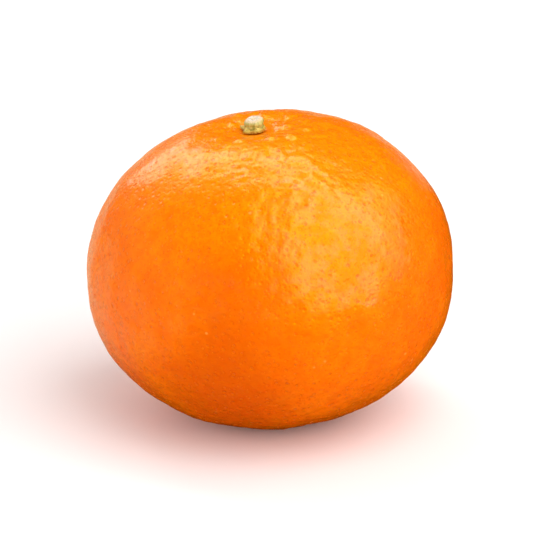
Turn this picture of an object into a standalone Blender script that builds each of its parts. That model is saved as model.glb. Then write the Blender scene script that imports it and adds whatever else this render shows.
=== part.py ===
"""A mandarin as picked, standing on its blossom end with its stem end up.

Three solids: the fruit with its lumpy rind, the five-lobed calyx that stays
on the stem end, and the cut stub of the stem. Metres, +Z up, the side that is
seen from the front towards -Y, and the origin on the surface it rests on.
"""
import math

import bmesh
import bpy
import numpy as np
from mathutils import Matrix, Vector

MM = 0.001

# The fruit's own frame has its origin in the middle of the widest girth and
# its axis along +Z. The whole fruit then leans a little to one side.
GIRTH_RADIUS = 32.0 * MM
STEM_HALF_HEIGHT = 27.6 * MM
BLOSSOM_HALF_HEIGHT = 26.2 * MM
FULLNESS = 2.09
GIRTH_UNEVENNESS = 0.0096
LEAN_DEGREES = 4.4
FLAT_SPOT_SAG = 0.6 * MM

# The hollow round the stem, which grew a little off the axis, and the dimple
# at the blossom end.
STEM_OFFSET = -1.1 * MM
BASIN_DEPTH = 1.85 * MM
BASIN_RADIUS = 5.2 * MM
DIMPLE_DEPTH = 1.3 * MM
DIMPLE_RADIUS = 2.2 * MM

# Creases that run out from the stem between the tops of the segments.
CREASE_COUNT = 11
CREASE_DEPTH = (0.25 * MM, 0.55 * MM)
CREASE_LENGTH = (7.0 * MM, 14.0 * MM)
CREASE_HALF_WIDTH = (0.7 * MM, 1.1 * MM)
CREASE_WIDENING = 0.08 / MM
CREASE_START = (2.4 * MM, 3.6 * MM)
CREASE_SEED = 5

# Low relief of the rind: broad swells, and smaller lumps on them.
SWELL_WAVE_LENGTHS = (11.0 * MM, 19.0 * MM)
SWELL_HEIGHT = 0.10 * MM
SWELL_SEED = 3
LUMP_WAVE_LENGTHS = (7.0 * MM, 8.5 * MM)
LUMP_HEIGHT = 0.05 * MM
LUMP_SEED = 23
WAVES_IN_RELIEF = 40
RELIEF_START = (3.0 * MM, 6.0 * MM)

# The calyx lies in the basin and the stem stub stands on it.
SEAT_GAP = 0.15 * MM
CALYX_TIP_RADII = (2.05 * MM, 2.3 * MM, 2.4 * MM, 2.6 * MM, 2.45 * MM)
CALYX_TURN_DEGREES = 4.0
CALYX_NOTCH_RADIUS = 1.85 * MM
CALYX_TIP_ROUNDNESS = 1.2
CALYX_THICKNESS = 0.8 * MM
CALYX_EDGE_THICKNESS = 0.35 * MM
CALYX_SHOULDER = 0.55
STUB_HEIGHT = 1.6 * MM
STUB_FOOT_RADIUS = 1.65 * MM
STUB_WAIST_RADIUS = 1.45 * MM
STUB_TOP_RADIUS = 1.58 * MM
STUB_EDGE_ROUNDING = 0.22 * MM
STUB_FACE_HOLLOW = 0.12 * MM

# Mesh steps. Rings crowd towards both ends of the fruit, where its form is finest.
FRUIT_SIDES = 84
FRUIT_RINGS = 48
RING_CROWDING = 0.4
CALYX_SIDES = 50
CALYX_RINGS = 5
STUB_SIDES = 30
STUB_CORNER_STEPS = 4


def smooth_step(value, start, end):
    """0 before start, 1 after end, and a smooth rise between them."""
    share = np.clip((value - start) / (end - start), 0.0, 1.0)
    return share * share * (3.0 - 2.0 * share)


def plain_radius(direction):
    """Distance from the fruit's middle to its plain rounded form."""
    x, y, z = direction.T
    longitude = np.arctan2(y, x)
    girth = GIRTH_RADIUS * (1.0 - GIRTH_UNEVENNESS * np.cos(3.0 * longitude))
    half_height = np.where(z > 0.0, STEM_HALF_HEIGHT, BLOSSOM_HALF_HEIGHT)
    across = (np.hypot(x, y) / girth) ** FULLNESS
    along = (np.abs(z) / half_height) ** FULLNESS
    return (across + along) ** (-1.0 / FULLNESS)


def basin_drop(reach):
    """How far the stem end sinks at this distance from the stem."""
    return BASIN_DEPTH * np.exp(-((reach / BASIN_RADIUS) ** 2))


def dimple_rise(reach):
    """How far the blossom end draws in at this distance from the fruit's axis."""
    return DIMPLE_DEPTH * np.exp(-((reach / DIMPLE_RADIUS) ** 2))


def crease_drop(reach, longitude):
    """Depth of the creases at this distance from the stem and angle round it."""
    draw = np.random.RandomState(CREASE_SEED)
    drop = np.zeros_like(reach)
    for crease in range(CREASE_COUNT):
        own = 2.0 * math.pi * (crease + draw.uniform(-0.3, 0.3)) / CREASE_COUNT
        depth = draw.uniform(*CREASE_DEPTH)
        length = draw.uniform(*CREASE_LENGTH)
        half_width = draw.uniform(*CREASE_HALF_WIDTH) * (0.6 + CREASE_WIDENING * reach)
        turn = (longitude - own + math.pi) % (2.0 * math.pi) - math.pi
        across = np.exp(-((reach * turn / half_width) ** 2))
        opening = smooth_step(reach, *CREASE_START)
        fading = 1.0 - smooth_step(reach, 0.4 * length, length)
        drop = np.maximum(drop, depth * across * opening * fading)
    return drop


def relief(direction, wave_lengths, height, seed):
    """A field of low rounded lumps: plane waves in seeded directions, added up."""
    draw = np.random.RandomState(seed)
    total = np.zeros(len(direction))
    for _ in range(WAVES_IN_RELIEF):
        heading = draw.normal(size=3)
        heading /= np.linalg.norm(heading)
        turns = 2.0 * math.pi * GIRTH_RADIUS / draw.uniform(*wave_lengths)
        total += np.sin(direction @ heading * turns + draw.uniform(0.0, 2.0 * math.pi))
    return height * total / math.sqrt(WAVES_IN_RELIEF)


def rind_points(direction):
    """Points of the fruit's skin along unit directions, in the fruit's own frame."""
    radius = plain_radius(direction)
    from_axis = radius * np.hypot(direction[:, 0], direction[:, 1])
    from_stem_x = radius * direction[:, 0] - STEM_OFFSET
    from_stem_y = radius * direction[:, 1]
    reach = np.hypot(from_stem_x, from_stem_y)
    stem_side = direction[:, 2] > 0.0
    lumps = relief(direction, SWELL_WAVE_LENGTHS, SWELL_HEIGHT, SWELL_SEED)
    lumps += relief(direction, LUMP_WAVE_LENGTHS, LUMP_HEIGHT, LUMP_SEED)
    lumps *= smooth_step(np.where(stem_side, reach, from_axis), *RELIEF_START)
    creases = crease_drop(reach, np.arctan2(from_stem_y, from_stem_x))
    radius = radius + lumps - np.where(stem_side, creases, 0.0)
    points = direction * radius[:, None]
    points[:, 2] += np.where(stem_side, -basin_drop(reach), dimple_rise(from_axis))
    return points


def seat_height(x, y):
    """Height of the basin's floor near the stem, where it has no lumps or creases."""
    dome = (1.0 - (np.hypot(x, y) / GIRTH_RADIUS) ** FULLNESS) ** (1.0 / FULLNESS)
    return STEM_HALF_HEIGHT * dome - basin_drop(np.hypot(x - STEM_OFFSET, y))


def principled(name, colour, roughness):
    """A plain material with this base colour and roughness."""
    material = bpy.data.materials.new(name)
    material.use_nodes = True
    shader = material.node_tree.nodes["Principled BSDF"]
    shader.inputs["Base Color"].default_value = (*colour, 1.0)
    shader.inputs["Roughness"].default_value = roughness
    shader.inputs["Metallic"].default_value = 0.0
    material.diffuse_color = (*colour, 1.0)
    return material


def ring_mesh(name, rings, bottom, top):
    """A closed mesh through rings of equally many points, from bottom pole to top pole."""
    builder = bmesh.new()
    rows = [[builder.verts.new(point) for point in ring] for ring in rings]
    low_pole = builder.verts.new(bottom)
    high_pole = builder.verts.new(top)
    sides = len(rows[0])
    for side in range(sides):
        after = (side + 1) % sides
        builder.faces.new((rows[0][after], rows[0][side], low_pole))
        for lower, upper in zip(rows, rows[1:]):
            builder.faces.new((lower[side], lower[after], upper[after], upper[side]))
        builder.faces.new((rows[-1][side], rows[-1][after], high_pole))
    mesh = bpy.data.meshes.new(name)
    builder.to_mesh(mesh)
    builder.free()
    mesh.shade_smooth()
    mesh.set_sharp_from_angle(angle=math.radians(50.0))
    return mesh


def circle(radius, height, sides, turn=0.0, centre_x=0.0):
    """Points round a level circle. The radius and height may differ from point to point."""
    longitude = turn + np.arange(sides) * 2.0 * math.pi / sides
    x = centre_x + radius * np.cos(longitude)
    return np.stack([x, radius * np.sin(longitude), np.broadcast_to(height, sides)], axis=1)


def fruit_rings():
    """The fruit's rings from the blossom end up, and its two poles, in its own frame."""
    share = np.arange(FRUIT_RINGS - 1, 0, -1) / FRUIT_RINGS
    crowding = RING_CROWDING * np.sin(2.0 * math.pi * share) / (2.0 * math.pi)
    rings = [
        rind_points(circle(math.sin(polar), math.cos(polar), FRUIT_SIDES))
        for polar in math.pi * (share - crowding)
    ]
    return rings, rind_points(np.array([[0.0, 0.0, -1.0], [0.0, 0.0, 1.0]]))


def leaning(points, lift=(0.0, 0.0, 0.0)):
    """Points of the fruit's own frame where the fruit stands: leant over and lifted."""
    turn = np.array(Matrix.Rotation(-math.radians(LEAN_DEGREES), 3, "Y"))
    return np.asarray(points) @ turn.T + np.array(lift)


def standing_lift(rings):
    """What moves the leant fruit so that its flat spot is at z = 0 and its box is centred."""
    stood = leaning(np.concatenate(rings))
    low, high = stood.min(axis=0), stood.max(axis=0)
    return (-(low[0] + high[0]) / 2.0, -(low[1] + high[1]) / 2.0, -low[2] - FLAT_SPOT_SAG)


def resting(points, lift):
    """The leant fruit's skin, pressed flat where its weight rests on the surface."""
    pressed = leaning(points, lift)
    pressed[:, 2] = np.maximum(pressed[:, 2], 0.0)
    return pressed


def make_fruit(rings, poles, lift):
    """The whole fruit as one solid, with its rind's relief and its flat spot."""
    mesh = ring_mesh("fruit", [resting(ring, lift) for ring in rings], *resting(poles, lift))
    mesh.materials.append(principled("rind", (0.91, 0.24, 0.01), 0.38))
    return mesh


def calyx_ring(share, thickness_share):
    """One ring of the calyx: share of the way to its edge, and of the way up its thickness."""
    lobes = len(CALYX_TIP_RADII)
    turns = np.arange(CALYX_SIDES) / CALYX_SIDES
    tip = np.array(CALYX_TIP_RADII)[np.rint(turns * lobes).astype(int) % lobes]
    lobe = 1.0 - np.abs(np.sin(math.pi * lobes * turns)) ** CALYX_TIP_ROUNDNESS
    edge = CALYX_NOTCH_RADIUS + (tip - CALYX_NOTCH_RADIUS) * lobe
    slope = smooth_step(share, CALYX_SHOULDER, 1.0)
    thickness = CALYX_THICKNESS + (CALYX_EDGE_THICKNESS - CALYX_THICKNESS) * slope
    turn = math.radians(CALYX_TURN_DEGREES)
    ring = circle(share * edge, 0.0, CALYX_SIDES, turn, STEM_OFFSET)
    ring[:, 2] = seat_height(ring[:, 0], ring[:, 1]) + SEAT_GAP + thickness * thickness_share
    return ring


def make_calyx(lift):
    """The five sepals, grown into one green star that hugs the basin's floor."""
    shares = np.arange(1, CALYX_RINGS + 1) / CALYX_RINGS
    under = [calyx_ring(share, 0.0) for share in shares]
    over = [calyx_ring(share, 1.0) for share in shares[::-1]]
    middle = seat_height(STEM_OFFSET, 0.0) + SEAT_GAP
    poles = [[STEM_OFFSET, 0.0, middle], [STEM_OFFSET, 0.0, middle + CALYX_THICKNESS]]
    mesh = ring_mesh("calyx", [leaning(ring, lift) for ring in under + over], *leaning(poles, lift))
    mesh.materials.append(principled("calyx_green", (0.27, 0.33, 0.05), 0.6))
    return mesh


def stub_profile():
    """The stub's outline as (radius, height above its foot), from its foot to its cut face."""
    foot = [(STUB_FOOT_RADIUS, 0.0), (STUB_FOOT_RADIUS, 0.2 * STUB_HEIGHT)]
    waist = [(STUB_WAIST_RADIUS, 0.5 * STUB_HEIGHT)]
    corner = [
        (
            STUB_TOP_RADIUS - STUB_EDGE_ROUNDING * (1.0 - math.cos(angle)),
            STUB_HEIGHT - STUB_EDGE_ROUNDING * (1.0 - math.sin(angle)),
        )
        for angle in np.linspace(0.0, math.pi / 2.0, STUB_CORNER_STEPS)
    ]
    face = [(0.55 * STUB_TOP_RADIUS, STUB_HEIGHT - 0.8 * STUB_FACE_HOLLOW)]
    return foot + waist + corner + face


def make_stem_stub(lift):
    """The short stub left where the stem was cut, with a slightly hollow cut face."""
    foot = seat_height(STEM_OFFSET, 0.0) + 2.0 * SEAT_GAP + CALYX_THICKNESS
    face = foot + STUB_HEIGHT - STUB_FACE_HOLLOW
    rings = [
        leaning(circle(radius, foot + height, STUB_SIDES, 0.0, STEM_OFFSET), lift)
        for radius, height in stub_profile()
    ]
    poles = leaning([[STEM_OFFSET, 0.0, foot], [STEM_OFFSET, 0.0, face]], lift)
    mesh = ring_mesh("stem_stub", rings, *poles)
    mesh.materials.append(principled("stem_wood", (0.55, 0.5, 0.3), 0.7))
    return mesh


def place(mesh, origin, parent):
    """The mesh as an object with its origin at a point, under the parent."""
    mesh.transform(Matrix.Translation(-origin))
    piece = bpy.data.objects.new(mesh.name, mesh)
    piece.location = origin
    piece.parent = parent
    bpy.context.scene.collection.objects.link(piece)


def main():
    for leftover in list(bpy.data.objects):
        bpy.data.objects.remove(leftover)
    mandarin = bpy.data.objects.new("mandarin", None)
    bpy.context.scene.collection.objects.link(mandarin)
    rings, poles = fruit_rings()
    lift = standing_lift(rings)
    stem_seat = [STEM_OFFSET, 0.0, seat_height(STEM_OFFSET, 0.0)]
    stem_origin = Vector(leaning([stem_seat], lift)[0])
    place(make_fruit(rings, poles, lift), Vector((0.0, 0.0, 0.0)), mandarin)
    place(make_calyx(lift), stem_origin, mandarin)
    place(make_stem_stub(lift), stem_origin, mandarin)


main()
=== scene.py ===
"""The looks of one mandarin: its pored rind, its green calyx and its cut stem.

Metres, +Z up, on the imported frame. The sections follow the fruit as it grew:
rind, calyx, stem stub, and then the table, the lamps and the camera.
"""
import math

import bmesh
import bpy
import numpy as np
from mathutils import Matrix, Vector


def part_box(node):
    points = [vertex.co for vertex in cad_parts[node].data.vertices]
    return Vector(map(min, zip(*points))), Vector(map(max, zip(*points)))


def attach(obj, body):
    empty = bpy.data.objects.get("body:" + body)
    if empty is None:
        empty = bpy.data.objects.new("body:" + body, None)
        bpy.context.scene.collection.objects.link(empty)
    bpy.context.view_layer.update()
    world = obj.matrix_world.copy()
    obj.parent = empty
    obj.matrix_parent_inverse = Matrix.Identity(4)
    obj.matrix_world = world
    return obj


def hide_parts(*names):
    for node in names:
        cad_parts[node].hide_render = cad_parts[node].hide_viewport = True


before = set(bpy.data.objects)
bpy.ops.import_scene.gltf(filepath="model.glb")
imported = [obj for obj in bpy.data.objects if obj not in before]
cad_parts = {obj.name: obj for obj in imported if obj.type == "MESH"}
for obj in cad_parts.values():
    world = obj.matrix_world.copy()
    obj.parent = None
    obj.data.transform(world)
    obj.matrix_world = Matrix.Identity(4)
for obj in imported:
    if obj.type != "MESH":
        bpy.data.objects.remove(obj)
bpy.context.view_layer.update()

# Fruit
# The whole fruit in its rind: a flattened ball, hollow round the stem, that grew in one
# piece. Its waxy skin is dimpled by oil glands, gathers in creases and small mounds at
# the stem, and is pressed flat where the fruit rests.
MM = 0.001
GIRTH_RADIUS = 32.0 * MM
STEM_HALF_HEIGHT = 27.6 * MM
BLOSSOM_HALF_HEIGHT = 26.2 * MM
FULLNESS = 2.09
GIRTH_UNEVENNESS = 0.0096
LEAN_DEGREES = 4.4
STEM_OFFSET = -1.1 * MM
BASIN_DEPTH = 1.85 * MM
BASIN_RADIUS = 5.2 * MM
DIMPLE_DEPTH = 1.3 * MM
DIMPLE_RADIUS = 2.2 * MM
CREASE_COUNT = 11
CREASE_SPREAD = 0.3
CREASE_DEPTH = (0.25 * MM, 0.55 * MM)
CREASE_LENGTH = (7.0 * MM, 14.0 * MM)
CREASE_HALF_WIDTH = (0.7 * MM, 1.1 * MM)
CREASE_START_WIDTH = 0.6
CREASE_WIDENING = 0.08 / MM
CREASE_START = (2.4 * MM, 3.6 * MM)
CREASE_FADING_FROM = 0.4
CREASE_SEED = 5
CREASE_SOFTENING = 0.7
WAVES_IN_RELIEF = 40
RELIEF_START = (3.0 * MM, 6.0 * MM)

# Each layer of relief: shortest and longest wave, height, and seed. The first two
# are the solid's own, and the finer ones are the skin between and over the glands.
# The wander is such a layer too, in radians, by which the creases turn off their way.
RELIEF_LAYERS = (
    (11.0 * MM, 19.0 * MM, 0.10 * MM, 3),
    (7.0 * MM, 8.5 * MM, 0.05 * MM, 23),
    (2.4 * MM, 4.4 * MM, 0.030 * MM, 31),
    (1.3 * MM, 2.0 * MM, 0.018 * MM, 47),
)
CREASE_WANDER = (4.0 * MM, 7.0 * MM, 0.22, 9)

# The finer layers grow stronger towards the stem: by how much, and from how far.
PUCKER_GAIN = 3.0
PUCKER_REACH = 7.0 * MM

# Where the skin is smoother than elsewhere, or rougher where the share is below 0: the
# direction that the patch lies in, the cosine at its edge, and the share.
SKIN_PATCHES = (
    ((0.87, -0.45, 0.20), 0.55, 0.5),
    ((-0.50, -0.36, 0.79), 0.65, 0.6),
    ((0.15, -0.60, 0.78), 0.80, -0.9),
)
SKIN_PATCH_CORE = 0.97

# Small mounds into which the skin gathers round the stem: each one's angle round the
# stem in degrees, its distance from it, its height and its radius.
GATHERS = (
    (-86.0, 5.7 * MM, 0.50 * MM, 0.84 * MM),
    (-109.0, 7.2 * MM, 0.44 * MM, 0.84 * MM),
    (-67.0, 7.8 * MM, 0.50 * MM, 0.90 * MM),
    (-46.0, 9.0 * MM, 0.40 * MM, 0.90 * MM),
    (-18.0, 9.4 * MM, 0.40 * MM, 0.86 * MM),
    (-3.0, 5.8 * MM, 0.24 * MM, 0.80 * MM),
    (30.0, 4.7 * MM, 0.26 * MM, 0.75 * MM),
    (76.0, 6.5 * MM, 0.28 * MM, 0.90 * MM),
    (112.0, 7.6 * MM, 0.24 * MM, 0.80 * MM),
    (141.0, 5.2 * MM, 0.24 * MM, 0.70 * MM),
    (172.0, 6.2 * MM, 0.28 * MM, 0.80 * MM),
    (-148.0, 7.2 * MM, 0.28 * MM, 0.85 * MM),
    (-122.0, 5.0 * MM, 0.24 * MM, 0.70 * MM),
)
RIND_CELLS = 128


def smooth_step(value, start, end):
    """0 before start, 1 after end, and a smooth rise between them."""
    share = np.clip((value - start) / (end - start), 0.0, 1.0)
    return share * share * (3.0 - 2.0 * share)


def plain_radius(direction):
    """Distance from the fruit's middle to its plain rounded form."""
    x, y, z = direction.T
    longitude = np.arctan2(y, x)
    girth = GIRTH_RADIUS * (1.0 - GIRTH_UNEVENNESS * np.cos(3.0 * longitude))
    half_height = np.where(z > 0.0, STEM_HALF_HEIGHT, BLOSSOM_HALF_HEIGHT)
    across = (np.hypot(x, y) / girth) ** FULLNESS
    along = (np.abs(z) / half_height) ** FULLNESS
    return (across + along) ** (-1.0 / FULLNESS)


def basin_drop(reach):
    """How far the stem end sinks at this distance from the stem."""
    return BASIN_DEPTH * np.exp(-((reach / BASIN_RADIUS) ** 2))


def crease_drop(reach, longitude):
    """Depth of the creases at this distance from the stem and angle round it."""
    draw = np.random.RandomState(CREASE_SEED)
    drop = np.zeros_like(reach)
    for crease in range(CREASE_COUNT):
        off_even = draw.uniform(-CREASE_SPREAD, CREASE_SPREAD)
        own = 2.0 * math.pi * (crease + off_even) / CREASE_COUNT
        depth = draw.uniform(*CREASE_DEPTH)
        length = draw.uniform(*CREASE_LENGTH)
        widening = CREASE_START_WIDTH + CREASE_WIDENING * reach
        half_width = draw.uniform(*CREASE_HALF_WIDTH) * widening
        turn = (longitude - own + math.pi) % (2.0 * math.pi) - math.pi
        across = np.exp(-((reach * turn / half_width) ** 2))
        opening = smooth_step(reach, *CREASE_START)
        fading = 1.0 - smooth_step(reach, CREASE_FADING_FROM * length, length)
        drop = np.maximum(drop, depth * across * opening * fading)
    return drop


def relief(points, shortest, longest, height, seed):
    """A field of low rounded lumps: plane waves in seeded directions, added up."""
    draw = np.random.RandomState(seed)
    total = np.zeros(len(points))
    for _ in range(WAVES_IN_RELIEF):
        heading = draw.normal(size=3)
        heading /= np.linalg.norm(heading)
        turns = 2.0 * math.pi / draw.uniform(shortest, longest)
        total += np.sin(points @ heading * turns + draw.uniform(0.0, 2.0 * math.pi))
    return height * total / math.sqrt(WAVES_IN_RELIEF)


def gather_rise(from_stem_x, from_stem_y):
    """Height of the mounds round the stem."""
    rise = np.zeros_like(from_stem_x)
    for degrees, reach, height, radius in GATHERS:
        x = from_stem_x - reach * math.cos(math.radians(degrees))
        y = from_stem_y - reach * math.sin(math.radians(degrees))
        rise = np.maximum(rise, height * np.exp(-(x * x + y * y) / radius**2))
    return rise


def rind_points(direction, gathering=1.0):
    """Points of the fruit's skin along unit directions, in the fruit's own frame."""
    radius = plain_radius(direction)
    from_axis = radius * np.hypot(direction[:, 0], direction[:, 1])
    from_stem_x = radius * direction[:, 0] - STEM_OFFSET
    from_stem_y = radius * direction[:, 1]
    reach = np.hypot(from_stem_x, from_stem_y)
    stem_side = direction[:, 2] > 0.0
    ball = GIRTH_RADIUS * direction
    swell, lumps, pebbles, grain = (relief(ball, *layer) for layer in RELIEF_LAYERS)
    near_stem = np.where(stem_side, np.exp(-((reach / PUCKER_REACH) ** 2)), 0.0)
    puckering = 1.0 + PUCKER_GAIN * near_stem
    smoothing = np.zeros(len(direction))
    for toward, edge, share in SKIN_PATCHES:
        smoothing += share * smooth_step(direction @ np.array(toward), edge, SKIN_PATCH_CORE)
    total = swell + lumps + puckering * (1.0 - smoothing) * (pebbles + grain)
    total *= smooth_step(np.where(stem_side, reach, from_axis), *RELIEF_START)
    wander = relief(ball, *CREASE_WANDER)
    creases = crease_drop(reach, np.arctan2(from_stem_y, from_stem_x) + wander)
    gathers = gathering * gather_rise(from_stem_x, from_stem_y)
    radius = radius + total + np.where(stem_side, gathers - CREASE_SOFTENING * creases, 0.0)
    points = direction * radius[:, None]
    dimple = DIMPLE_DEPTH * np.exp(-((from_axis / DIMPLE_RADIUS) ** 2))
    points[:, 2] += np.where(stem_side, -basin_drop(reach), dimple)
    return points


def leaning(points):
    """Points of the fruit's own frame, leant over as the fruit stands."""
    turn = np.array(Matrix.Rotation(-math.radians(LEAN_DEGREES), 3, "Y"))
    return np.asarray(points) @ turn.T


def rind_mesh():
    """The skin on a cube blown up to a ball, so that its faces are all of like size."""
    builder = bmesh.new()
    bmesh.ops.create_cube(builder, size=2.0)
    bmesh.ops.subdivide_edges(
        builder, edges=builder.edges[:], cuts=RIND_CELLS - 1, use_grid_fill=True
    )
    mesh = bpy.data.meshes.new("rind")
    builder.to_mesh(mesh)
    builder.free()
    corners = np.empty(len(mesh.vertices) * 3)
    mesh.vertices.foreach_get("co", corners)
    spread = np.tan(corners.reshape(-1, 3) * math.pi / 4.0)
    directions = spread / np.linalg.norm(spread, axis=1, keepdims=True)
    ungathered = leaning(rind_points(directions, gathering=0.0))
    node_low, node_high = (np.array(corner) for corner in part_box("fruit"))
    lift = (node_low + node_high - ungathered.min(axis=0) - ungathered.max(axis=0)) / 2.0
    lift[2] = node_high[2] - ungathered[:, 2].max()
    stood = leaning(rind_points(directions)) + lift
    stood[:, 2] = np.maximum(stood[:, 2], node_low[2])
    mesh.vertices.foreach_set("co", stood.ravel())
    mesh.shade_smooth()
    mesh.update()
    return mesh, lift


def add_node(tree, kind, values=(), **settings):
    """A shader node with these settings. Its values go to inputs by name or number, and
    a value that is another node's output is linked."""
    made = tree.nodes.new(kind)
    for key, value in settings.items():
        setattr(made, key, value)
    for key, value in dict(values).items():
        if isinstance(value, bpy.types.NodeSocket):
            tree.links.new(value, made.inputs[key])
        else:
            made.inputs[key].default_value = value
    return made


def math_node(tree, operation, first, second=0.0):
    """One sum on two numbers."""
    return add_node(tree, "ShaderNodeMath", {0: first, 1: second}, operation=operation).outputs[0]


def ramp(tree, value, start, end, low=0.0, high=1.0):
    """A smooth change from low at start to high at end."""
    limits = {"Value": value, "From Min": start, "From Max": end, "To Min": low, "To Max": high}
    made = add_node(tree, "ShaderNodeMapRange", limits, interpolation_type="SMOOTHSTEP")
    return made.outputs["Result"]


def mix_colours(tree, share, first, second):
    """The first colour where share is 0 and the second where it is 1."""
    made = add_node(tree, "ShaderNodeMix", data_type="RGBA")
    for socket, value in ((made.inputs[0], share), (made.inputs[6], first), (made.inputs[7], second)):
        if isinstance(value, bpy.types.NodeSocket):
            tree.links.new(value, socket)
        else:
            socket.default_value = value
    return made.outputs[2]


def mix_values(tree, share, first, second):
    """The first number where share is 0 and the second where it is 1."""
    made = add_node(tree, "ShaderNodeMix", {0: share, 2: first, 3: second}, data_type="FLOAT")
    return made.outputs[0]


def rgb(red, green, blue):
    """An opaque linear colour."""
    return (red, green, blue, 1.0)


def new_material(name):
    """A material with an empty node tree, its Principled BSDF linked to the output."""
    material = bpy.data.materials.new(name)
    material.use_nodes = True
    tree = material.node_tree
    tree.nodes.clear()
    shader = tree.nodes.new("ShaderNodeBsdfPrincipled")
    output = tree.nodes.new("ShaderNodeOutputMaterial")
    tree.links.new(shader.outputs["BSDF"], output.inputs["Surface"])
    return material, tree, shader


def set_sockets(node, values):
    """Set the node's own sockets to what is the same all over the surface."""
    for name, value in values.items():
        node.inputs[name].default_value = value


MOTTLE_DETAIL = (("Broad", 2.0), ("Fine", 3.0))
MOTTLE_RANGE = (0.72, 1.28)


def new_group(name, inputs, result, result_kind):
    """An empty node group with these inputs and one output, and its two end nodes."""
    group = bpy.data.node_groups.new(name, "ShaderNodeTree")
    for given, kind in inputs:
        group.interface.new_socket(given, in_out="INPUT", socket_type=kind)
    group.interface.new_socket(result, in_out="OUTPUT", socket_type=result_kind)
    return group, group.nodes.new("NodeGroupInput"), group.nodes.new("NodeGroupOutput")


def mottle_group():
    """Uneven growth of plant skin: a shade from 0 to 1 out of a broad and a fine noise."""
    inputs = (("Place", "NodeSocketVector"), ("Broad", "NodeSocketFloat"), ("Fine", "NodeSocketFloat"))
    group, given, result = new_group("skin_mottle", inputs, "Shade", "NodeSocketFloat")
    noises = [
        add_node(
            group,
            "ShaderNodeTexNoise",
            {"Vector": given.outputs["Place"], "Scale": given.outputs[size], "Detail": detail},
        ).outputs["Fac"]
        for size, detail in MOTTLE_DETAIL
    ]
    both = math_node(group, "ADD", *noises)
    group.links.new(ramp(group, both, *MOTTLE_RANGE), result.inputs["Shade"])
    return group


SKIN_MOTTLE = mottle_group()


def skin_shade(tree, place, broad, fine):
    """The uneven growth of plant skin, with patches of these many to the metre."""
    values = {"Place": place, "Broad": broad, "Fine": fine}
    return add_node(tree, "ShaderNodeGroup", values, node_tree=SKIN_MOTTLE).outputs["Shade"]


def vector_sum(tree, operation, first, second, result="Vector"):
    """One sum on two vectors."""
    values = {0: first, 1: second}
    return add_node(tree, "ShaderNodeVectorMath", values, operation=operation).outputs[result]


def nearness(tree, place, spot, reach, core, most):
    """How near the surface is to a spot: 0 from reach on, and most within the core."""
    gap = vector_sum(tree, "DISTANCE", place, tuple(spot), "Value")
    return ramp(tree, gap, reach, core, 0.0, most)


SHALLOWEST_GLAND = 0.3


def gland_pits(tree, place, outward, spacing, width):
    """Round pits of even width, spread over the skin at about this spacing: 1 in the
    middle of the deepest, and less in most."""
    cells = add_node(
        tree,
        "ShaderNodeTexVoronoi",
        {"Vector": place, "Scale": 1.0 / spacing, "Randomness": 1.0},
        voronoi_dimensions="3D",
    )
    away = vector_sum(tree, "SUBTRACT", place, cells.outputs["Position"])
    depth = vector_sum(tree, "DOT_PRODUCT", away, outward, "Value")
    sunk = add_node(tree, "ShaderNodeVectorMath", {0: outward, "Scale": depth}, operation="SCALE")
    beside = vector_sum(tree, "SUBTRACT", away, sunk.outputs["Vector"])
    gap = vector_sum(tree, "LENGTH", beside, (0.0, 0.0, 0.0), "Value")
    chance = add_node(tree, "ShaderNodeSeparateColor", {0: cells.outputs["Color"]}).outputs["Red"]
    seldom_deep = math_node(tree, "POWER", chance, 2.0)
    own_depth = ramp(tree, seldom_deep, 0.0, 1.0, SHALLOWEST_GLAND, 1.0)
    return math_node(tree, "MULTIPLY", ramp(tree, gap, 0.5 * width, 0.0), own_depth)


RIND_ORANGE = rgb(0.95, 0.180, 0.0003)
RIND_DEEP = rgb(0.93, 0.130, 0.0003)
RIND_STEM_END = rgb(0.96, 0.285, 0.0004)
# Painted shade: a darker red laid on the front of the rind where less light falls.
RIND_PAINTED_SHADE = rgb(0.68, 0.085, 0.0003)
GLAND_ORANGE = rgb(0.70, 0.078, 0.0003)
# Painted glint: a pale dot colour that stands in for small glints of light on the skin.
PAINTED_GLINT = rgb(0.98, 0.42, 0.09)
SCAR_BROWN = rgb(0.20, 0.09, 0.03)
STEM_END_REACH = (42.0 * MM, 4.0 * MM)
STEM_END_SHARE = 0.95

# Each patch of another colour: the direction that it lies in, its radius, its share and
# # its colour. Two are painted shade, a darker red on the front and low on the front where
# # less light falls, and one on the upper right shoulder is yellower.
SHADE_AND_COLOUR_PATCHES = (
    ((-0.19, -0.97, 0.16), 14.0 * MM, 0.50, RIND_PAINTED_SHADE),
    ((-0.24, -0.88, -0.36), 17.0 * MM, 0.85, RIND_PAINTED_SHADE),
    ((0.62, -0.26, 0.74), 19.0 * MM, 0.35, RIND_STEM_END),
)
PATCH_CORE = 0.15

# Patches to the metre, broad and fine, of the skin's colour, its grain and its wax.
SKIN_MOTTLING = (45.0, 210.0)
GRAIN_MOTTLING = (480.0, 1300.0)
WAX_MOTTLING = (260.0, 700.0)

# Glands show as darker pits, and the grain between them darkens the skin a little. The
# depths are shares of a gland's own.
GLAND_SPACING = 1.5 * MM
GLAND_WIDTH = 1.0 * MM
SMALL_GLAND_SPACING = 0.85 * MM
SMALL_GLAND_WIDTH = 0.55 * MM
GLAND_DEPTH = 0.12 * MM
SMALL_GLAND_DEPTH = 0.4
GRAIN_DEPTH = 0.25
GLAND_DARKENING = 0.6
SMALL_GLAND_DARKENING = 0.55
GRAIN_DARKENING = 0.30

# Painted glints, pale dots that stand in for small glints of light on the skin, and the scar of
# # the blossom: how far each colour reaches, and its share.
GLINT_SPACING = 4.2 * MM
GLINT_REACH = (0.09, 0.03)
GLINT_SHARE = 0.45
SCAR_REACH = (1.5 * MM, 0.8 * MM)
SCAR_SHARE = 0.9

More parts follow.
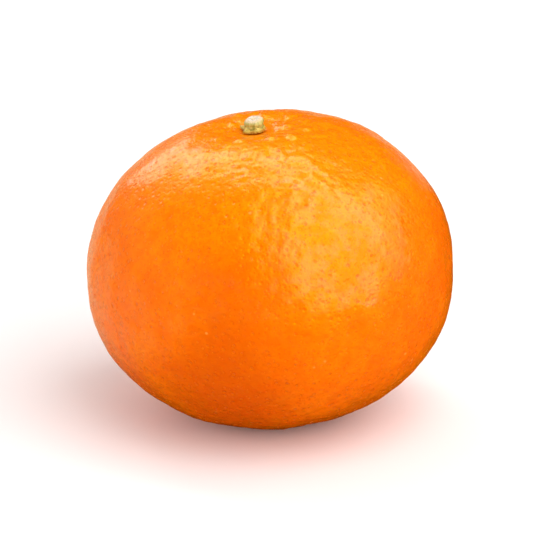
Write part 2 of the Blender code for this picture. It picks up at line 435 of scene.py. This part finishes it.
# Gloss: roughness between the glands and in them, and the thinnest and thickest wax.
RIND_ROUGHNESS = (0.22, 0.32)
ROUGHEST_PIT = 0.6
WAX_WEIGHT = (0.08, 0.54)
RIND_SOCKETS = {
    "IOR": 1.6,
    "Specular IOR Level": 0.62,
    "Specular Tint": rgb(1.0, 0.90, 0.0),
    "Coat Roughness": 0.14,
    "Subsurface Weight": 0.2,
    "Subsurface Radius": (1.0, 0.3, 0.05),
    "Subsurface Scale": 2.0 * MM,
}


def rind_material(middle, stem_end, blossom_end):
    """Waxed orange rind with darker glands, a yellower stem end and a blossom scar, with painted
    glints and painted shade on its front.
    """
    material, tree, shader = new_material("rind")
    place = tree.nodes.new("ShaderNodeTexCoord").outputs["Object"]
    from_middle = vector_sum(tree, "SUBTRACT", place, tuple(middle))
    outward = vector_sum(tree, "NORMALIZE", from_middle, (0.0, 0.0, 0.0))
    shade = skin_shade(tree, place, *SKIN_MOTTLING)
    colour = mix_colours(tree, shade, RIND_DEEP, RIND_ORANGE)
    yellowing = nearness(tree, place, stem_end, *STEM_END_REACH, STEM_END_SHARE)
    colour = mix_colours(tree, yellowing, colour, RIND_STEM_END)
    # Two of these patches are painted shade on the front and low on the front.
    for toward, radius, share, tint in SHADE_AND_COLOUR_PATCHES:
        spot = Vector(middle) + GIRTH_RADIUS * Vector(toward).normalized()
        patch = nearness(tree, place, spot, radius, PATCH_CORE * radius, share)
        colour = mix_colours(tree, patch, colour, tint)

    gland = gland_pits(tree, place, outward, GLAND_SPACING, GLAND_WIDTH)
    small_gland = gland_pits(tree, place, outward, SMALL_GLAND_SPACING, SMALL_GLAND_WIDTH)
    grain = skin_shade(tree, place, *GRAIN_MOTTLING)
    for darkening in (
        ramp(tree, grain, 1.0, 0.0, 0.0, GRAIN_DARKENING),
        math_node(tree, "MULTIPLY", gland, GLAND_DARKENING),
        math_node(tree, "MULTIPLY", small_gland, SMALL_GLAND_DARKENING),
    ):
        colour = mix_colours(tree, darkening, colour, GLAND_ORANGE)

    # Painted glints: pale dots spread over the skin in place of small glints of light.
    specks = add_node(
        tree,
        "ShaderNodeTexVoronoi",
        {"Vector": place, "Scale": 1.0 / GLINT_SPACING, "Randomness": 1.0},
        voronoi_dimensions="3D",
    )
    painted_glint = ramp(tree, specks.outputs["Distance"], *GLINT_REACH, 0.0, GLINT_SHARE)
    colour = mix_colours(tree, painted_glint, colour, PAINTED_GLINT)
    scar = nearness(tree, place, blossom_end, *SCAR_REACH, SCAR_SHARE)
    colour = mix_colours(tree, scar, colour, SCAR_BROWN)
    tree.links.new(colour, shader.inputs["Base Color"])

    roughness = ramp(tree, gland, 0.0, ROUGHEST_PIT, *RIND_ROUGHNESS)
    tree.links.new(roughness, shader.inputs["Roughness"])
    wax = ramp(tree, skin_shade(tree, place, *WAX_MOTTLING), 0.0, 1.0, *WAX_WEIGHT)
    tree.links.new(wax, shader.inputs["Coat Weight"])
    small_pits = math_node(tree, "MULTIPLY", small_gland, SMALL_GLAND_DEPTH)
    pits = math_node(tree, "ADD", gland, small_pits)
    pits = math_node(tree, "SUBTRACT", pits, math_node(tree, "MULTIPLY", grain, GRAIN_DEPTH))
    bump = add_node(
        tree,
        "ShaderNodeBump",
        {"Strength": 1.0, "Distance": GLAND_DEPTH, "Height": pits},
        invert=True,
    )
    tree.links.new(bump.outputs["Normal"], shader.inputs["Normal"])
    set_sockets(shader, RIND_SOCKETS)
    return material


def add_piece(mesh, material, node):
    """A shown piece that stands for a node of the frame and rides with it."""
    piece = bpy.data.objects.new(mesh.name, mesh)
    bpy.context.scene.collection.objects.link(piece)
    mesh.materials.append(material)
    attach(piece, "root")
    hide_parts(node)
    return piece


def seat_height(x, y):
    """Height of the basin's floor near the stem, where it has no lumps or creases."""
    dome = (1.0 - (np.hypot(x, y) / GIRTH_RADIUS) ** FULLNESS) ** (1.0 / FULLNESS)
    return STEM_HALF_HEIGHT * dome - basin_drop(np.hypot(x - STEM_OFFSET, y))


skin, fruit_lift = rind_mesh()
stem_end = leaning([STEM_OFFSET, 0.0, seat_height(STEM_OFFSET, 0.0)]) + fruit_lift
blossom_end = leaning([0.0, 0.0, DIMPLE_DEPTH - BLOSSOM_HALF_HEIGHT]) + fruit_lift
rind = add_piece(skin, rind_material(fruit_lift, stem_end, blossom_end), "fruit")

# Calyx
# The five sepals of the flower, which stayed green and grew together into a small
# leathery star. It hugs the hollow's floor, swells round the stem's foot and is thin
# and ragged at its tips.
SEAT_GAP = 0.15 * MM
CALYX_TIP_RADII = (2.0 * MM, 2.2 * MM, 3.0 * MM, 2.45 * MM, 2.2 * MM)
CALYX_TURN_DEGREES = 2.0
CALYX_NOTCH_RADIUS = 1.80 * MM
CALYX_TIP_ROUNDNESS = 1.2
CALYX_THICKNESS = 0.8 * MM
CALYX_EDGE_THICKNESS = 0.28 * MM
CALYX_SHOULDER = 0.62
CALYX_SIDES = 220
CALYX_RINGS = 40
CALYX_RAGGEDNESS = 0.05 * MM
CALYX_RAGGED_WAVES = (11, 23, 37, 53)
CALYX_RAGGED_SEED = 8
CALYX_EDGE_STEPS = (0.3, 0.7)
COLLAR_RADIUS = 1.70 * MM
COLLAR_WIDTH = 0.17 * MM
COLLAR_HEIGHT = 0.34 * MM
MIDRIB_HEIGHT = 0.10 * MM
MIDRIB_HALF_WIDTH = 0.25 * MM
NOTCH_FOLD_DEPTH = 0.16 * MM
NOTCH_FOLD_SHARPNESS = 6
RIB_FADING_AT_EDGE = 0.4
EDGE_CURL = 0.16 * MM
EDGE_CURL_SHARPNESS = 8

# Wrinkles of its surface, given as a layer of the rind's relief is.
CALYX_WRINKLES = (0.35 * MM, 0.9 * MM, 0.035 * MM, 8)


def ring_mesh(name, rings, bottom, top, along):
    """A closed mesh through rings of equally many points, from bottom pole to top pole.
    Each ring's place in the piece, from along, is kept on its points for the material."""
    builder = bmesh.new()
    kept = builder.verts.layers.float.new("along")
    rows = [[builder.verts.new(point) for point in ring] for ring in rings]
    for row, place in zip(rows, along):
        for vertex in row:
            vertex[kept] = place
    low_pole = builder.verts.new(bottom)
    low_pole[kept] = along[0]
    high_pole = builder.verts.new(top)
    high_pole[kept] = along[-1]
    sides = len(rows[0])
    for side in range(sides):
        after = (side + 1) % sides
        builder.faces.new((rows[0][after], rows[0][side], low_pole))
        for lower, upper in zip(rows, rows[1:]):
            builder.faces.new((lower[side], lower[after], upper[after], upper[side]))
        builder.faces.new((rows[-1][side], rows[-1][after], high_pole))
    mesh = bpy.data.meshes.new(name)
    builder.to_mesh(mesh)
    builder.free()
    mesh.shade_smooth()
    return mesh


def ripple(turns, waves, seed):
    """A seeded wobble round a ring, made of a few whole waves."""
    draw = np.random.RandomState(seed)
    total = np.zeros_like(turns)
    for wave in waves:
        total += np.sin(2.0 * math.pi * (wave * turns + draw.uniform())) / len(waves)
    return total


def calyx_ring(share, thickness_share):
    """One ring of the calyx: share of the way to its edge, and of the way up its thickness."""
    lobes = len(CALYX_TIP_RADII)
    turns = np.arange(CALYX_SIDES) / CALYX_SIDES
    tip = np.array(CALYX_TIP_RADII)[np.rint(turns * lobes).astype(int) % lobes]
    across_lobe = np.abs(np.sin(math.pi * lobes * turns))
    lobe = 1.0 - across_lobe**CALYX_TIP_ROUNDNESS
    edge = CALYX_NOTCH_RADIUS + (tip - CALYX_NOTCH_RADIUS) * lobe
    edge = edge + CALYX_RAGGEDNESS * ripple(turns, CALYX_RAGGED_WAVES, CALYX_RAGGED_SEED)
    slope = smooth_step(share, CALYX_SHOULDER, 1.0)
    thickness = CALYX_THICKNESS + (CALYX_EDGE_THICKNESS - CALYX_THICKNESS) * slope
    angle = 2.0 * math.pi * turns + math.radians(CALYX_TURN_DEGREES)
    reach = share * edge
    x = STEM_OFFSET + reach * np.cos(angle)
    y = reach * np.sin(angle)
    off_midrib = reach * across_lobe / (0.5 * lobes)
    midrib = MIDRIB_HEIGHT * np.exp(-((off_midrib / MIDRIB_HALF_WIDTH) ** 2))
    fold = NOTCH_FOLD_DEPTH * across_lobe**NOTCH_FOLD_SHARPNESS
    wrinkles = relief(np.stack([x, y, np.zeros_like(x)], axis=1), *CALYX_WRINKLES)
    collar = COLLAR_HEIGHT * np.exp(-(((reach - COLLAR_RADIUS) / COLLAR_WIDTH) ** 2))
    ribs = slope * (1.0 - slope * RIB_FADING_AT_EDGE) * (midrib - fold)
    detail = ribs + slope * wrinkles + collar
    height = seat_height(x, y) + SEAT_GAP + thickness_share * (thickness + detail)
    height = height + EDGE_CURL * share**EDGE_CURL_SHARPNESS * lobe
    return np.stack([x, y, height], axis=1)


def calyx_mesh():
    """The star as one closed body: its underside, its thin edge and its ribbed top."""
    shares = np.linspace(0.0, 1.0, CALYX_RINGS + 1)[1:]
    under = [calyx_ring(share, 0.0) for share in shares]
    edge = [calyx_ring(1.0, share) for share in CALYX_EDGE_STEPS]
    over = [calyx_ring(share, 1.0) for share in shares[::-1]]
    middle = seat_height(STEM_OFFSET, 0.0) + SEAT_GAP
    poles = [[STEM_OFFSET, 0.0, middle], [STEM_OFFSET, 0.0, middle + CALYX_THICKNESS]]
    rings = [leaning(ring) + fruit_lift for ring in under + edge + over]
    along = [*shares, *(1.0 for _ in edge), *shares[::-1]]
    return ring_mesh("calyx_star", rings, *(leaning(poles) + fruit_lift), along)


CALYX_OLIVE = rgb(0.60, 0.45, 0.075)
CALYX_GREEN = rgb(0.38, 0.32, 0.035)
CALYX_RIM = rgb(0.36, 0.19, 0.012)
CALYX_COLLAR = rgb(0.62, 0.49, 0.12)
CALYX_MOTTLING = (900.0, 3500.0)
CALYX_ROUGHNESS = (0.6, 0.4)

# How far out on the calyx each colour starts and is full: the collar's inwards, and the
# dry rim's outwards. The rim is patchy, and follows the mottling between its two shares.
COLLAR_ALONG = (0.90, 0.70)
RIM_ALONG = (0.90, 1.0)
RIM_MOTTLE = (0.9, 0.2)
RIM_SHARES = (0.35, 1.0)
CALYX_FIBRES = {"Scale": 5200.0, "Detail": 3.0, "Strength": 0.6, "Distance": 0.03 * MM}
CALYX_SOCKETS = {
    "Subsurface Weight": 0.1,
    "Subsurface Radius": (0.6, 0.8, 0.2),
    "Subsurface Scale": 0.4 * MM,
}


def fibre_group():
    """Fine fibres of plant tissue: a normal roughened by a small noise."""
    names = ("Scale", "Detail", "Strength", "Distance")
    inputs = [("Place", "NodeSocketVector"), *((name, "NodeSocketFloat") for name in names)]
    group, given, result = new_group("plant_fibres", inputs, "Normal", "NodeSocketVector")
    scale, detail, strength, depth = (given.outputs[name] for name in names)
    spot = {"Vector": given.outputs["Place"], "Scale": scale, "Detail": detail}
    noise = add_node(group, "ShaderNodeTexNoise", spot)
    rough = {"Strength": strength, "Distance": depth, "Height": noise.outputs["Fac"]}
    bump = add_node(group, "ShaderNodeBump", rough)
    group.links.new(bump.outputs["Normal"], result.inputs["Normal"])
    return group


PLANT_FIBRES = fibre_group()


def roughen(tree, shader, place, fibres):
    """Give the shader the fibres of plant tissue."""
    made = add_node(tree, "ShaderNodeGroup", {"Place": place, **fibres}, node_tree=PLANT_FIBRES)
    tree.links.new(made.outputs["Normal"], shader.inputs["Normal"])


def calyx_material():
    """Leathery olive green, pale round the stem and brown and dry along the rim."""
    material, tree, shader = new_material("calyx")
    place = tree.nodes.new("ShaderNodeTexCoord").outputs["Object"]
    along = add_node(tree, "ShaderNodeAttribute", attribute_name="along").outputs["Fac"]
    shade = skin_shade(tree, place, *CALYX_MOTTLING)
    colour = mix_colours(tree, shade, CALYX_GREEN, CALYX_OLIVE)
    colour = mix_colours(tree, ramp(tree, along, *COLLAR_ALONG), colour, CALYX_COLLAR)
    dry = ramp(tree, shade, *RIM_MOTTLE, *RIM_SHARES)
    rim = math_node(tree, "MULTIPLY", ramp(tree, along, *RIM_ALONG), dry)
    colour = mix_colours(tree, rim, colour, CALYX_RIM)
    tree.links.new(colour, shader.inputs["Base Color"])
    tree.links.new(ramp(tree, shade, 0.0, 1.0, *CALYX_ROUGHNESS), shader.inputs["Roughness"])
    roughen(tree, shader, place, CALYX_FIBRES)
    set_sockets(shader, CALYX_SOCKETS)
    return material


calyx = add_piece(calyx_mesh(), calyx_material(), "calyx")

# Stem stub
# What is left of the stem after picking: a short green stalk, ribbed along its length,
# that grows out of the calyx. The clippers cut it a little aslant and left a pale,
# fibrous face with a hollow pith.
STUB_HEIGHT = 1.35 * MM
STUB_FOOT_RADIUS = 1.55 * MM
STUB_WAIST_RADIUS = 1.58 * MM
STUB_TOP_RADIUS = 1.72 * MM
STUB_EDGE_ROUNDING = 0.55 * MM
STUB_SLANT_DEGREES = 7.0
STUB_SLANT_TOWARD = math.radians(50.0)
STUB_DOME = 0.14 * MM
STUB_SIDES = 180
STUB_WALL_RINGS = 16
STUB_EDGE_RINGS = 7
STUB_FACE_RINGS = 18
STUB_WAIST_AT = 0.45
STUB_RIBS = (7, 11, 17, 29, 41)
STUB_RIB_SEED = 4
STUB_RIB_DEPTH = 0.09 * MM
STUB_GROWTH_RING = 1.10 * MM
STUB_RING_HEIGHT = 0.05 * MM
STUB_RING_WIDTH = 0.12 * MM
PITH_RADIUS = 0.42 * MM
PITH_DEPTH = 0.16 * MM

# Knobs of the bark and fibres of the cut face, given as layers of the rind's relief are.
STUB_KNOBS = (0.8 * MM, 1.6 * MM, 0.05 * MM, 4)
STUB_FIBRES = (0.28 * MM, 0.6 * MM, 0.035 * MM, 6)

# Places along the stub's outline: 0 at its foot, these two, 1 at its rim and 2 inmost.
WALL_TOP_PLACE = 0.8
FACE_RELIEF_FROM = 0.85


def stub_profile():
    """Each ring's radius, its height, and its place along the outline."""
    wall_top = STUB_HEIGHT - STUB_EDGE_ROUNDING
    for share in np.linspace(0.0, 1.0, STUB_WALL_RINGS):
        narrowing = smooth_step(share, 0.0, STUB_WAIST_AT)
        flaring = smooth_step(share, STUB_WAIST_AT, 1.0)
        radius = STUB_FOOT_RADIUS + (STUB_WAIST_RADIUS - STUB_FOOT_RADIUS) * narrowing
        radius += (STUB_TOP_RADIUS - STUB_WAIST_RADIUS) * flaring
        yield radius, share * wall_top, WALL_TOP_PLACE * share
    for share in np.linspace(0.0, 1.0, STUB_EDGE_RINGS)[1:]:
        inset = STUB_EDGE_ROUNDING * (1.0 - math.cos(0.5 * math.pi * share))
        height = wall_top + STUB_EDGE_ROUNDING * math.sin(0.5 * math.pi * share)
        place = WALL_TOP_PLACE + (1.0 - WALL_TOP_PLACE) * share
        yield STUB_TOP_RADIUS - inset, height, place
    flat_radius = STUB_TOP_RADIUS - STUB_EDGE_ROUNDING
    for share in np.linspace(0.0, 1.0, STUB_FACE_RINGS + 1)[1:-1]:
        yield flat_radius * (1.0 - share), STUB_HEIGHT, 1.0 + share


def stub_ring(radius, height, place):
    """One ring of the stub in the fruit's own frame, with its ribs, knobs and fibres."""
    turns = np.arange(STUB_SIDES) / STUB_SIDES
    angle = 2.0 * math.pi * turns
    on_face = smooth_step(place, FACE_RELIEF_FROM, 1.0)
    ribs = (1.0 - on_face) * STUB_RIB_DEPTH * ripple(turns, STUB_RIBS, STUB_RIB_SEED)
    level = np.full(STUB_SIDES, height)
    spot = np.stack([radius * np.cos(angle), radius * np.sin(angle), level], axis=1)
    own = radius + min(1.0, radius / STUB_TOP_RADIUS) * (ribs + relief(spot, *STUB_KNOBS))
    x = own * np.cos(angle)
    y = own * np.sin(angle)
    fibres = relief(spot, *STUB_FIBRES)
    from_ring = (radius - STUB_GROWTH_RING) / STUB_RING_WIDTH
    growth = STUB_RING_HEIGHT * math.exp(-(from_ring**2))
    pith = PITH_DEPTH * math.exp(-((radius / PITH_RADIUS) ** 4))
    uphill = x * math.cos(STUB_SLANT_TOWARD) + y * math.sin(STUB_SLANT_TOWARD)
    slant = math.tan(math.radians(STUB_SLANT_DEGREES)) * uphill * height / STUB_HEIGHT
    dome = STUB_DOME * (1.0 - (radius / STUB_TOP_RADIUS) ** 2)
    level = level + slant + on_face * (fibres + growth + dome - pith)
    foot = seat_height(STEM_OFFSET, 0.0) + 2.0 * SEAT_GAP + CALYX_THICKNESS
    return np.stack([STEM_OFFSET + x, y, foot + level], axis=1)


def stub_mesh():
    """The stub as one closed body."""
    profile = list(stub_profile())
    rings = [stub_ring(*step) for step in profile]
    poles = np.array([rings[0].mean(axis=0), rings[-1].mean(axis=0)])
    stood = [leaning(ring) + fruit_lift for ring in rings]
    along = [place for _, _, place in profile]
    return ring_mesh("stem_cut", stood, *(leaning(poles) + fruit_lift), along)


BARK_CREAM = rgb(0.52, 0.44, 0.12)
BARK_OLIVE = rgb(0.25, 0.255, 0.04)
CUT_CREAM = rgb(0.72, 0.59, 0.47)
CUT_TAN = rgb(0.70, 0.50, 0.24)
PITH_GREY = rgb(0.33, 0.36, 0.26)

# Streaks run up the bark, because its mottling is drawn out along the stub.
STREAK_STRETCH = (1.0, 1.0, 0.2)
STREAK_MOTTLING = (1300.0, 3800.0)

# Colours of the cut face: the mottling or the place at which each starts and is full, and
# its least and most share. The cut itself takes over from the bark just below its rim.
SPECK_MOTTLING = (1700.0, 5200.0)
GREY_SPECKS = (0.75, 0.15, 0.0, 0.9)
RIM_TAN = (1.12, 1.0, 0.0, 0.6)
PITH_TAN_REACH = (1.5 * PITH_RADIUS, 0.6 * PITH_RADIUS)
PITH_TAN_SHARE = 0.7
CUT_FROM = (0.86, 0.97)
STUB_ROUGHNESS = (0.5, 0.7)
WOOD_FIBRES = {"Scale": 4800.0, "Detail": 4.0, "Strength": 0.7, "Distance": 0.04 * MM}
STUB_SOCKETS = {
    "Subsurface Weight": 0.1,
    "Subsurface Radius": (1.0, 0.8, 0.4),
    "Subsurface Scale": 0.4 * MM,
}


def stub_material(face_centre):
    """Streaked green and cream bark, and a cream cut face with grey specks and pith."""
    material, tree, shader = new_material("stem")
    place = tree.nodes.new("ShaderNodeTexCoord").outputs["Object"]
    along = add_node(tree, "ShaderNodeAttribute", attribute_name="along").outputs["Fac"]
    drawn_out = vector_sum(tree, "MULTIPLY", place, STREAK_STRETCH)
    streaks = skin_shade(tree, drawn_out, *STREAK_MOTTLING)
    bark = mix_colours(tree, streaks, BARK_OLIVE, BARK_CREAM)
    specks = ramp(tree, skin_shade(tree, place, *SPECK_MOTTLING), *GREY_SPECKS)
    wood = mix_colours(tree, specks, CUT_CREAM, PITH_GREY)
    pith = nearness(tree, place, face_centre, *PITH_TAN_REACH, PITH_TAN_SHARE)
    wood = mix_colours(tree, pith, wood, CUT_TAN)
    wood = mix_colours(tree, ramp(tree, along, *RIM_TAN), wood, CUT_TAN)
    cut = ramp(tree, along, *CUT_FROM)
    tree.links.new(mix_colours(tree, cut, bark, wood), shader.inputs["Base Color"])
    tree.links.new(ramp(tree, cut, 0.0, 1.0, *STUB_ROUGHNESS), shader.inputs["Roughness"])
    roughen(tree, shader, place, WOOD_FIBRES)
    set_sockets(shader, STUB_SOCKETS)
    return material


stub_rise = 2.0 * SEAT_GAP + CALYX_THICKNESS + STUB_HEIGHT
stub_face = stem_end + leaning([0.0, 0.0, stub_rise])
stub = add_piece(stub_mesh(), stub_material(stub_face), "stem_stub")

# Table
# A plain board painted matt white. It is wide enough that no view from above shows its
# edge. In the fruit's skin it mirrors darker and warmer than it looks.
TABLE_SIDE = 12.0
TABLE_CELLS = 8
TABLE_WHITE = rgb(0.90, 0.86, 0.845)
TABLE_BOUNCE = rgb(0.70, 0.62, 0.60)

# What its mirror image shows: at the left, nearer the middle, and far out at the front
# right, with the way and the distances over which each colour takes over.
MIRRORED_LEFT = rgb(0.60, 0.42, 0.26)
MIRRORED_NEAR = rgb(0.12, 0.08, 0.0)
MIRRORED_NEAR_ACROSS = (1.0, -0.5, 0.0)
MIRRORED_NEAR_RANGE = (-60.0 * MM, -15.0 * MM)
MIRRORED_FAR = rgb(0.50, 0.37, 0.01)
MIRRORED_FAR_ACROSS = (0.7, -0.7, 0.0)
MIRRORED_FAR_RANGE = (20.0 * MM, 220.0 * MM)
TABLE_SOCKETS = {"Roughness": 0.7, "Specular IOR Level": 0.0}


def table_top():
    """A flat square under the fruit."""
    builder = bmesh.new()
    bmesh.ops.create_grid(
        builder, x_segments=TABLE_CELLS, y_segments=TABLE_CELLS, size=TABLE_SIDE / 2.0
    )
    mesh = bpy.data.meshes.new("table")
    builder.to_mesh(mesh)
    builder.free()
    material, tree, shader = new_material("table")
    rays = tree.nodes.new("ShaderNodeLightPath")
    place = tree.nodes.new("ShaderNodeTexCoord").outputs["Object"]
    mirrored = MIRRORED_LEFT
    for across, distances, tint in (
        (MIRRORED_NEAR_ACROSS, MIRRORED_NEAR_RANGE, MIRRORED_NEAR),
        (MIRRORED_FAR_ACROSS, MIRRORED_FAR_RANGE, MIRRORED_FAR),
    ):
        distance = vector_sum(tree, "DOT_PRODUCT", place, across, "Value")
        mirrored = mix_colours(tree, ramp(tree, distance, *distances), mirrored, tint)
    paint = mix_colours(tree, rays.outputs["Is Glossy Ray"], TABLE_BOUNCE, mirrored)
    paint = mix_colours(tree, rays.outputs["Is Camera Ray"], paint, TABLE_WHITE)
    tree.links.new(paint, shader.inputs["Base Color"])
    set_sockets(shader, TABLE_SOCKETS)
    mesh.materials.append(material)
    board = bpy.data.objects.new("table", mesh)
    bpy.context.scene.collection.objects.link(board)


table_top()

# Lamps
# Soft boxes in a white studio that reflects dim and warm. The large one leans over the
# fruit from the front right to overhead, with a wider and weaker one round it, and a long
# one hangs behind the stem end, with a short upright beside it at the left.
FRUIT_MIDDLE = Vector((0.0, 0.0, 0.026))

# Each lamp: its name, the way that it stands from the fruit and the way that its height
# runs, its distance, width and height in metres, and its radiance.
LAMPS = (
    ("window", (0.595, -0.455, 0.665), (-0.25, 0.72, 0.65), 0.90, 1.12, 1.44, 1.6),
    ("window_skirt", (0.66, -0.47, 0.62), (-0.25, 0.72, 0.65), 0.95, 2.10, 2.10, 1.05),
    ("back_strip", (-0.06, 0.41, 0.91), (0.88, -0.37, 0.29), 0.85, 0.20, 1.00, 3.4),
    ("left_pane", (-0.44, 0.78, 0.42), (-0.30, -0.38, 0.86), 0.85, 0.28, 0.50, 1.8),
)


def soft_box(name, toward, upward, distance, width, height, radiance):
    """A lamp facing the fruit from a direction, its height along upward, that no camera
    sees. Its radiance is 1 where a white card in full view of it would look white."""
    lamp = bpy.data.lights.new(name, "AREA")
    lamp.shape = "RECTANGLE"
    lamp.size = width
    lamp.size_y = height
    lamp.energy = radiance * math.pi * width * height
    box = bpy.data.objects.new(name, lamp)
    bpy.context.scene.collection.objects.link(box)
    back = Vector(toward).normalized()
    side = Vector(upward).cross(back).normalized()
    turn = Matrix((side, back.cross(side), back)).transposed().to_4x4()
    box.matrix_world = Matrix.Translation(FRUIT_MIDDLE + back * distance) @ turn
    box.visible_camera = False


for lamp in LAMPS:
    soft_box(*lamp)

# The studio's walls: white where they are seen, warm where the fruit mirrors them, and in
# between a light that is stronger from the left and weaker from overhead.
WORLD_SEEN = 1.0
WORLD_MIRRORED = 1.0
WORLD_SIDES = (-0.9, 0.9)
WORLD_FILL = (2.8, 0.2)
WORLD_HEIGHTS = (0.05, 0.65)
WORLD_FILL_SHARES = (1.0, 0.12)
WORLD_WHITE = rgb(1.0, 1.0, 1.0)
WORLD_WARM = rgb(0.75, 0.10, 0.0)

world = bpy.data.worlds.new("studio")
bpy.context.scene.world = world
world.use_nodes = True
sky = world.node_tree
sky.nodes.clear()
rays = sky.nodes.new("ShaderNodeLightPath")
heading = sky.nodes.new("ShaderNodeTexCoord").outputs["Generated"]
toward = add_node(sky, "ShaderNodeSeparateXYZ", {0: heading})
fill = ramp(sky, toward.outputs["X"], *WORLD_SIDES, *WORLD_FILL)
overhead = ramp(sky, toward.outputs["Z"], *WORLD_HEIGHTS, *WORLD_FILL_SHARES)
fill = math_node(sky, "MULTIPLY", fill, overhead)
strength = mix_values(sky, rays.outputs["Is Glossy Ray"], fill, WORLD_MIRRORED)
strength = mix_values(sky, rays.outputs["Is Camera Ray"], strength, WORLD_SEEN)
colour = mix_colours(sky, rays.outputs["Is Glossy Ray"], WORLD_WHITE, WORLD_WARM)
backdrop = add_node(sky, "ShaderNodeBackground", {"Color": colour, "Strength": strength})
out = sky.nodes.new("ShaderNodeOutputWorld")
sky.links.new(backdrop.outputs["Background"], out.inputs["Surface"])

# Camera
# The photograph looks down on the fruit by about 20 degrees, from less than a metre. The
# lens is as long as makes the fruit fill its share of the picture's width.
CAMERA_ELEVATION = math.radians(20.0)
CAMERA_DISTANCE = 0.86
FRUIT_SHARE_OF_PICTURE = 0.68
SENSOR_WIDTH = 36.0
NEAREST_SEEN = 0.01

lens = bpy.data.cameras.new("camera")
camera = bpy.data.objects.new("camera", lens)
bpy.context.scene.collection.objects.link(camera)
back = Vector((0.0, -math.cos(CAMERA_ELEVATION), math.sin(CAMERA_ELEVATION)))
camera.location = FRUIT_MIDDLE + back * CAMERA_DISTANCE
camera.rotation_euler = back.to_track_quat("Z", "Y").to_euler()
lens.sensor_width = SENSOR_WIDTH
lens.lens = SENSOR_WIDTH * CAMERA_DISTANCE * FRUIT_SHARE_OF_PICTURE / (2.0 * GIRTH_RADIUS)
lens.clip_start = NEAREST_SEEN
bpy.context.scene.camera = camera
bpy.context.scene.view_settings.view_transform = "Standard"
